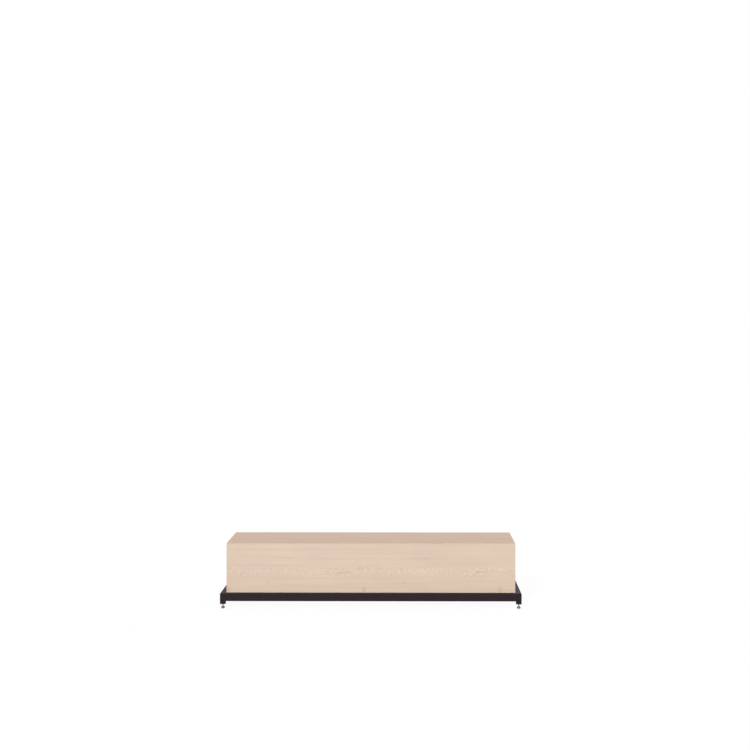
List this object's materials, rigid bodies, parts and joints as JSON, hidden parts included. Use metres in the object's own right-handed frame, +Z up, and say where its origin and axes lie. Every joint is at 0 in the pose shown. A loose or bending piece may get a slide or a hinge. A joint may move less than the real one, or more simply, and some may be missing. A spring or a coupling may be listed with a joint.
{
  "type": "display plinth",
  "caption": "Display plinth: a hollow oak-veneered box, mitred at every outer edge, that drops into a ring of black steel tube standing on screw levelling feet.",
  "frame": {"origin": "on the floor, under the middle of the plinth, with the feet at the height the picture shows", "axes": "+X along the long front towards the right as seen from the front, +Y from the front to the back, +Z up"},
  "size_m": [2.082, 0.682, 0.446],
  "materials": {
    "oak_veneer": "pale oak veneer, matt lacquer",
    "plywood": "sanded birch plywood, bare",
    "softwood": "planed softwood, bare",
    "black_powder_coat": "fine satin black powder coat",
    "zinc_plated_steel": "dull zinc plating",
    "dark_plated_steel": "dull dark plating",
    "black_nylon": "moulded, matt",
    "grey_nylon": "moulded, matt"
  },
  "bodies": {
    "plinth": {"top_panel": "oak_veneer", "front_panel": "oak_veneer", "back_panel": "oak_veneer", "left_end_panel": "oak_veneer", "right_end_panel": "oak_veneer", "rib_left": "plywood", "rib_centre": "plywood", "rib_right": "plywood", "top_batten_front": "softwood", "top_batten_back": "softwood", "top_batten_left": "softwood", "top_batten_right": "softwood", "corner_block_front_left": "softwood", "corner_block_front_right": "softwood", "corner_block_back_left": "softwood", "corner_block_back_right": "softwood", "cleat_front": "softwood", "cleat_back": "softwood", "cleat_left": "softwood", "cleat_right": "softwood", "rail_front": "black_powder_coat", "rail_back": "black_powder_coat", "rail_left": "black_powder_coat", "rail_right": "black_powder_coat", "cross_tube_1": "black_powder_coat", "cross_tube_2": "black_powder_coat", "cross_tube_3": "black_powder_coat", "cross_tube_4": "black_powder_coat", "cross_tube_5": "black_powder_coat", "hold_down_screw_front_1": "zinc_plated_steel", "hold_down_screw_front_2": "zinc_plated_steel", "hold_down_screw_front_3": "zinc_plated_steel", "hold_down_screw_front_4": "zinc_plated_steel", "hold_down_screw_front_5": "zinc_plated_steel", "hold_down_screw_back_1": "zinc_plated_steel", "hold_down_screw_back_2": "zinc_plated_steel", "hold_down_screw_back_3": "zinc_plated_steel", "hold_down_screw_back_4": "zinc_plated_steel", "hold_down_screw_back_5": "zinc_plated_steel", "leg_stub_front_left": "black_powder_coat", "leg_stub_front_right": "black_powder_coat", "leg_stub_back_left": "black_powder_coat", "leg_stub_back_right": "black_powder_coat", "threaded_insert_front_left": "black_nylon", "threaded_insert_front_right": "black_nylon", "threaded_insert_back_left": "black_nylon", "threaded_insert_back_right": "black_nylon"},
    "base_front_left": {"foot_cup_front_left": "dark_plated_steel", "foot_glide_front_left": "grey_nylon"},
    "base_front_right": {"foot_cup_front_right": "dark_plated_steel", "foot_glide_front_right": "grey_nylon"},
    "base_back_left": {"foot_cup_back_left": "dark_plated_steel", "foot_glide_back_left": "grey_nylon"},
    "base_back_right": {"foot_cup_back_right": "dark_plated_steel", "foot_glide_back_right": "grey_nylon"},
    "stud_front_left": {"foot_stud_front_left": "zinc_plated_steel"},
    "stud_front_right": {"foot_stud_front_right": "zinc_plated_steel"},
    "stud_back_left": {"foot_stud_back_left": "zinc_plated_steel"},
    "stud_back_right": {"foot_stud_back_right": "zinc_plated_steel"}
  },
  "joints": [
    {"name": "level_front_left", "type": "slide", "parent": "plinth", "child": "base_front_left", "axis": [0, 0, 1], "range_m": [-0.016, 0.0135]},
    {"name": "level_front_right", "type": "slide", "parent": "plinth", "child": "base_front_right", "axis": [0, 0, 1], "range_m": [-0.016, 0.0135]},
    {"name": "level_back_left", "type": "slide", "parent": "plinth", "child": "base_back_left", "axis": [0, 0, 1], "range_m": [-0.016, 0.0135]},
    {"name": "level_back_right", "type": "slide", "parent": "plinth", "child": "base_back_right", "axis": [0, 0, 1], "range_m": [-0.016, 0.0135]},
    {"name": "screw_front_left", "type": "hinge", "parent": "base_front_left", "child": "stud_front_left", "pos_m": [-1.022, -0.322, 0.02], "axis": [0, 0, 1], "range_deg": [-4609, 3889]},
    {"name": "screw_front_right", "type": "hinge", "parent": "base_front_right", "child": "stud_front_right", "pos_m": [1.022, -0.322, 0.02], "axis": [0, 0, 1], "range_deg": [-4609, 3889]},
    {"name": "screw_back_left", "type": "hinge", "parent": "base_back_left", "child": "stud_back_left", "pos_m": [-1.022, 0.322, 0.02], "axis": [0, 0, 1], "range_deg": [-4609, 3889]},
    {"name": "screw_back_right", "type": "hinge", "parent": "base_back_right", "child": "stud_back_right", "pos_m": [1.022, 0.322, 0.02], "axis": [0, 0, 1], "range_deg": [-4609, 3889]}
  ],
  "couplings": [
    {"joint": "screw_front_left", "follows": "level_front_left", "rad_per_m": 5026.5},
    {"joint": "screw_front_right", "follows": "level_front_right", "rad_per_m": 5026.5},
    {"joint": "screw_back_left", "follows": "level_back_left", "rad_per_m": 5026.5},
    {"joint": "screw_back_right", "follows": "level_back_right", "rad_per_m": 5026.5}
  ]
}
